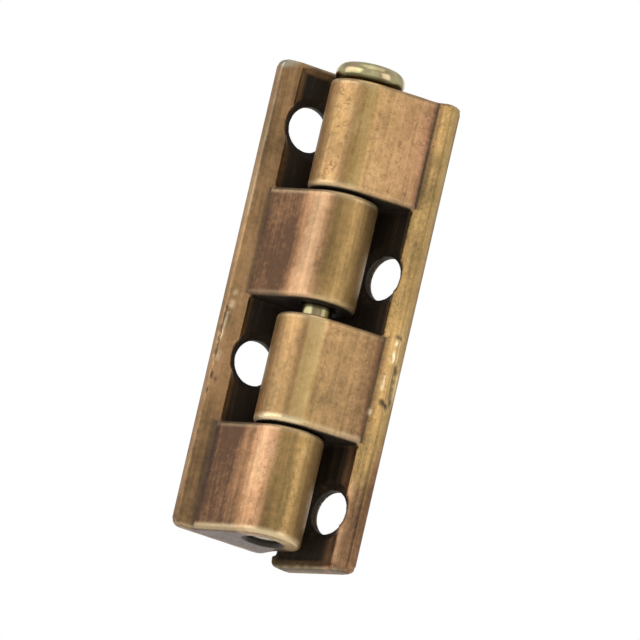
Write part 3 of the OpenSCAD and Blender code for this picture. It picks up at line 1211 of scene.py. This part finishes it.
    def build(self, node: bpy.types.Object) -> bpy.types.Object:
        """Makes the leaf's piece, which stands for the CAD node and moves with its body.

        Args:
            node: The CAD node.

        Returns:
            The piece.
        """
        mesh = self.cast_mesh(node)
        self.weather(mesh)
        turn, origin = self.own_frame()
        write_points(mesh, (read_points(mesh) @ turn.T + origin) * MM)
        mesh.polygons.foreach_set("use_smooth", np.ones(len(mesh.polygons), bool))
        name = f"{self.side.value}_casting"
        mesh.name = name
        mesh.materials.clear()
        mesh.materials.append(self.finish.material())
        piece = add_object(name, mesh)
        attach(piece, self.body)
        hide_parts(self.side.value)
        LOG.info("%s: %d points, %d faces", name, len(mesh.vertices), len(mesh.polygons))
        return piece


@dataclass
class HeadedPin:
    """The turned pin, a surface of revolution about the pin's axis. Lengths in mm."""

    body: str = "pin"
    slot: str = "pin_metal"
    finish: BrightPlating = BrightPlating()
    axis_x: float = 3.4
    axis_y: float = -7.5
    foot: float = -36.9
    seat: float = 20.9
    shank_radius: float = 2.0
    foot_bevel: float = 0.5
    head_radius: float = 4.3
    head_height: float = 2.4
    crown_height: float = 0.3
    top_round: float = 1.35
    under_round: float = 0.9
    # Points stand this close to the bevel's corners, to keep them crisp, and cut them by this much
    corner_gap: float = 0.05
    corner_cut: float = 0.03
    # How many rows the shank, each arc and the crown have, and how many columns go round
    shank_rows: int = 40
    arc_rows: int = 9
    crown_rows: int = 10
    columns: int = 96
    # Painted shade under the head, and a darker colour on all that lies below it
    head_underside_shade: float = 0.85
    shank_dimming: float = 0.35

    def profile(self) -> np.ndarray:
        """Radius and height along the pin's outline, from the foot's centre to the crown's centre.

        Arcs are a centre plus a radius times cosine and sine of evenly spaced angles; the crown is the
        arc of the ball through its edge and its top.

        Returns:
            One row of radius and height per point.
        """
        quarter = np.linspace(0, math.pi / 2, self.arc_rows)
        under = np.stack([self.head_radius - self.under_round + self.under_round * np.sin(quarter),
                          self.seat + self.under_round - self.under_round * np.cos(quarter)], -1)
        top = self.seat + self.head_height
        edge = self.head_radius - self.top_round
        over = np.stack([edge + self.top_round * np.cos(quarter),
                         top - self.top_round + self.top_round * np.sin(quarter)], -1)
        ball = (edge**2 + self.crown_height**2) / (2 * self.crown_height)
        reach = np.linspace(edge, 0, self.crown_rows)[1:]
        crown = np.stack([reach, top + self.crown_height - ball + np.sqrt(ball**2 - reach**2)], -1)
        foot, inner, bevel = self.foot, self.shank_radius - self.foot_bevel, self.foot + self.foot_bevel
        shank = np.stack([np.full(self.shank_rows, self.shank_radius),
                          np.linspace(bevel, self.seat, self.shank_rows)], -1)
        start = [(0, foot), (inner / 2, foot), (inner - self.corner_gap, foot),
                 (inner + self.corner_cut, foot + self.corner_cut),
                 (self.shank_radius - self.corner_gap, bevel - self.corner_gap)]
        return np.vstack([start, shank, under, over, crown])

    def build(self) -> bpy.types.Object:
        """Makes the pin's piece: the profile turned round the axis.

        Returns:
            The piece.
        """
        outline = self.profile()
        turn = np.linspace(0, 2 * math.pi, self.columns, endpoint=False)
        radius, height = outline[:, :1], outline[:, 1:]
        surface = np.stack([self.axis_x + radius * np.cos(turn), self.axis_y + radius * np.sin(turn),
                            height + 0 * turn], -1)
        mesh = turned_mesh("headed_pin", surface * MM)
        # Painted shade under the head, and a darker shank below it
        points = read_points(mesh) / MM
        away = np.hypot(points[:, 0] - self.axis_x, points[:, 1] - self.axis_y)
        under = smoothstep(self.seat + 1.0, self.seat + 0.4, points[:, 2]) * (away > self.shank_radius + 0.5)
        below = points[:, 2] < self.seat
        store(mesh, "dirt_and_shade", np.maximum(self.head_underside_shade * under, self.shank_dimming * below))
        mesh.polygons.foreach_set("use_smooth", np.ones(len(mesh.polygons), bool))
        mesh.materials.append(self.finish.material())
        piece = add_object("headed_pin", mesh)
        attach(piece, self.body)
        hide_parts("hinge_pin")
        LOG.info("headed_pin: %d points", len(mesh.vertices))
        return piece


# Studio


@dataclass(frozen=True)
class SoftBox:
    """One flat soft light, placed round the hinge as the camera sees it."""

    name: str
    # Degrees to the right of the camera and above the horizon, as seen from the hinge
    bearing: float
    height: float
    width_mm: float
    tall_mm: float
    brightness: float
    distance_mm: float = 600.0
    # Watts per square metre at a brightness of one
    full: float = 4.0


@dataclass
class Studio:
    """Camera at the photograph's angle, pale floor and soft lights."""

    azimuth: float = 25.9645
    climb: float = 11.7488
    lean: float = 13.0503
    aim_mm: tuple[float, float, float] = (3.4, -7.5, -7.4)
    distance_mm: float = 3311.2
    pixels_per_mm: float = 8.1712
    picture: int = 640
    aim_pixel: tuple[float, float] = (317.37, 307.99)
    sensor_mm: float = 36.0
    clip_m: tuple[float, float] = (0.1, 50.0)
    room: float = 0.5
    # The floor reaches this far each way, lies this far down, and glows this much
    floor_reach_m: float = 20.0
    floor_drop_m: float = -1.4
    floor_grey: str = "#707070"
    floor_glow: float = 0.75
    boxes: tuple[SoftBox, ...] = (
        SoftBox("left", -66, 14, 700, 500, 0.9),
        SoftBox("right", 50, 14, 300, 500, 0.7),
        SoftBox("front", 12, 14, 300, 500, 0.13),
        SoftBox("above", 10, 72, 500, 500, 0.4),
        SoftBox("behind", 180, 0, 900, 700, 0.3),
    )

    def axes(self) -> tuple[np.ndarray, np.ndarray, np.ndarray]:
        """Works out how the camera stands.

        Returns:
            Right, up and forward of the leaning camera in the row frame.
        """
        a, e, lean = (math.radians(v) for v in (self.azimuth, self.climb, self.lean))
        forward = np.array([math.sin(a) * math.cos(e), math.cos(a) * math.cos(e), math.sin(e)])
        level = np.array([math.cos(a), -math.sin(a), 0.0])
        upright = np.cross(level, forward)
        right = math.cos(lean) * level + math.sin(lean) * upright
        up = -math.sin(lean) * level + math.cos(lean) * upright
        return right, up, forward

    def camera(self) -> None:
        """Makes the camera, whose shift brings the aimed place to its pixel."""
        right, up, forward = self.axes()
        data = bpy.data.cameras.new("camera")
        data.sensor_width = self.sensor_mm
        data.lens = self.pixels_per_mm * self.distance_mm * self.sensor_mm / self.picture
        data.shift_x = (self.picture / 2 - self.aim_pixel[0]) / self.picture
        data.shift_y = (self.aim_pixel[1] - self.picture / 2) / self.picture
        data.clip_start, data.clip_end = self.clip_m
        data.dof.use_dof = False
        thing = add_object("camera", data)
        spot = (np.array(self.aim_mm) - forward * self.distance_mm) * MM
        thing.matrix_world = placement(right, up, -forward, spot)
        bpy.context.scene.camera = thing

    def light(self, box: SoftBox) -> None:
        """Makes one soft box that looks at the hinge and isn't seen by the camera itself.

        Args:
            box: Its place, size and brightness.
        """
        turn, rise = math.radians(box.bearing - 90 - self.azimuth), math.radians(box.height)
        out = np.array([math.cos(turn) * math.cos(rise), math.sin(turn) * math.cos(rise), math.sin(rise)])
        data = bpy.data.lights.new(box.name, "AREA")
        data.shape = "RECTANGLE"
        data.size, data.size_y = box.width_mm * MM, box.tall_mm * MM
        data.energy = box.brightness * box.full * data.size * data.size_y
        thing = add_object(box.name, data)
        thing.visible_camera = False
        side = np.cross([0.0, 0.0, 1.0], out)
        side /= np.linalg.norm(side)
        spot = (np.array(self.aim_mm) + out * box.distance_mm) * MM
        thing.matrix_world = placement(side, np.cross(out, side), out, spot)

    def floor(self) -> None:
        """Makes a wide pale floor below the camera, lit through from beneath as a shooting table is."""
        reach, drop = self.floor_reach_m, self.floor_drop_m
        mesh = bpy.data.meshes.new("floor")
        corners = [(-reach, -reach, drop), (reach, -reach, drop), (reach, reach, drop), (-reach, reach, drop)]
        mesh.from_pydata(corners, [], [(0, 1, 2, 3)])
        paint = bpy.data.materials.new("pale_lit_floor")
        tree = empty_tree(paint)
        skin = add_node(tree, "ShaderNodeBsdfPrincipled", None,
                        {"Base Color": linear(self.floor_grey), "Roughness": 0.9,
                         "Emission Color": linear(WHITE), "Emission Strength": self.floor_glow})
        add_node(tree, "ShaderNodeOutputMaterial", None, {"Surface": skin.outputs[0]})
        mesh.materials.append(paint)
        thing = add_object("floor", mesh)

    def world(self) -> None:
        """Makes pale surroundings, white to the camera and dimmer as a light."""
        made = bpy.data.worlds.new("pale_studio")
        bpy.context.scene.world = made
        tree = empty_tree(made)
        seen, room = (add_node(tree, "ShaderNodeBackground", None,
                               {"Color": linear(WHITE), "Strength": strength}).outputs[0]
                      for strength in (1.0, self.room))
        path = add_node(tree, "ShaderNodeLightPath")
        both = add_node(tree, "ShaderNodeMixShader", None,
                        {0: path.outputs["Is Camera Ray"], 1: room, 2: seen})
        add_node(tree, "ShaderNodeOutputWorld", None, {"Surface": both.outputs[0]})

    def build(self) -> None:
        """Sets up the whole studio."""
        bpy.context.scene.view_settings.view_transform = "Standard"
        self.world()
        self.floor()
        for box in self.boxes:
            self.light(box)
        self.camera()


# Scars along the outer edge of the frame leaf, from its middle down: streaks, bright dents and chips
FRAME_SCARS = (
    Gouge((9.1, 1.5, 27.8), (9.2, 1.2, 24.8), 0.6, 0.2, 0.75, 0.0),
    Gouge((8.6, 1.7, 27.0), (8.9, 1.55, 25.2), 0.45, 0.14, 0.6, 0.0),
    Gouge((9.2, 1.3, 24.6), (9.2, 1.3, 21.7), 0.5, 0.18, 0.7, 0.0),
    Gouge((8.85, 1.6, 27.2), (8.95, 1.5, 24.0), 0.3, 0.0, 0.0, 0.7),
    Gouge((8.6, 1.7, 28.6), (8.6, 1.7, 28.2), 0.6, 0.1, 0.0, 0.75),
    Gouge((8.5, 1.7, 30.0), (8.5, 1.7, 29.8), 0.5, 0.08, 0.0, 0.6),
    Gouge((8.7, 1.65, 22.2), (8.8, 1.6, 21.2), 0.4, 0.05, 0.0, 0.5),
    Gouge((9.1, 1.5, 19.6), (9.1, 1.5, 19.0), 0.4, 0.12, 0.9, 0.0),
    Gouge((8.5, 1.7, 18.9), (8.5, 1.7, 18.7), 0.35, 0.1, 0.7, 0.0),
    Gouge((9.2, 1.3, 17.4), (9.2, 1.3, 17.1), 0.35, 0.12, 0.9, 0.0),
    Gouge((9.2, 1.3, 12.1), (9.2, 1.3, 11.9), 0.3, 0.08, 0.8, 0.0),
    # Bare zinc on the tail's corner, and a faint pale grey line along the edge below it
    Gouge((9.1, 1.4, 59.2), (7.8, 2.0, 59.7), 0.8, 0.03, 0.0, 0.0, 0.75),
    Gouge((9.2, 1.2, 59.0), (9.2, 1.2, 40.0), 0.45, 0.0, 0.0, 0.0, 0.22),
)
# Scars on the outer edge of the door leaf, beside its second knuckle
DOOR_SCARS = (
    Gouge((8.9, 1.6, 30.7), (8.9, 1.6, 30.9), 0.65, 0.12, 0.0, 0.7),
    Gouge((8.8, 1.6, 30.0), (9.2, 1.2, 30.2), 0.45, 0.14, 0.6, 0.0),
    Gouge((8.85, 1.6, 32.3), (8.85, 1.6, 32.9), 0.7, 0.1, 0.0, 0.9),
    Gouge((9.2, 1.0, 33.8), (9.2, 0.75, 38.4), 0.55, 0.3, 0.9, 0.0),
    Gouge((9.2, 0.25, 34.4), (9.2, 0.3, 38.0), 0.4, 0.0, 0.0, 0.5),
    Gouge((8.3, 1.75, 35.2), (8.3, 1.75, 36.6), 0.5, 0.08, 0.0, 0.6),
    Gouge((8.6, 1.65, 38.3), (9.2, 1.1, 39.0), 0.5, 0.25, 0.9, 0.0),
    Gouge((7.4, 2.0, 39.6), (7.4, 2.0, 39.9), 0.45, 0.0, 0.0, 0.6),
)
FRAME_COAT = FrameCoat(cove_reach=5.4, end_highlight=(0.75, 0.25, 0.2, 0.4), flank_share=0.6, pit_share=0.6,
                       tone=0.44, blush=0.4)
DOOR_COAT = DoorCoat(cove_reach=4.2, end_highlight=(0.3, 0.4, 0.3, 1.0), flank_share=0.3, pit_share=1.0,
                     tone=0.48, blush=0.15)


def main() -> None:
    """Builds the pieces in order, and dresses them."""
    logging.basicConfig(level=logging.INFO, format="%(name)s: %(message)s")
    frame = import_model()
    nodes = frame["nodes"]
    CastLeaf(Side.FRAME, "frame", "frame_leaf_bronze", AntiqueBronze("antique_bronze_plated_casting_frame"),
             FRAME_COAT, FRAME_SCARS, seed=3).build(nodes["frame_leaf"])
    CastLeaf(Side.DOOR, "door", "door_leaf_bronze", AntiqueBronze("antique_bronze_plated_casting_door"),
             DOOR_COAT, DOOR_SCARS, seed=11).build(nodes["door_leaf"])
    HeadedPin().build()
    Studio().build()


if __name__ == "__main__":
    main()
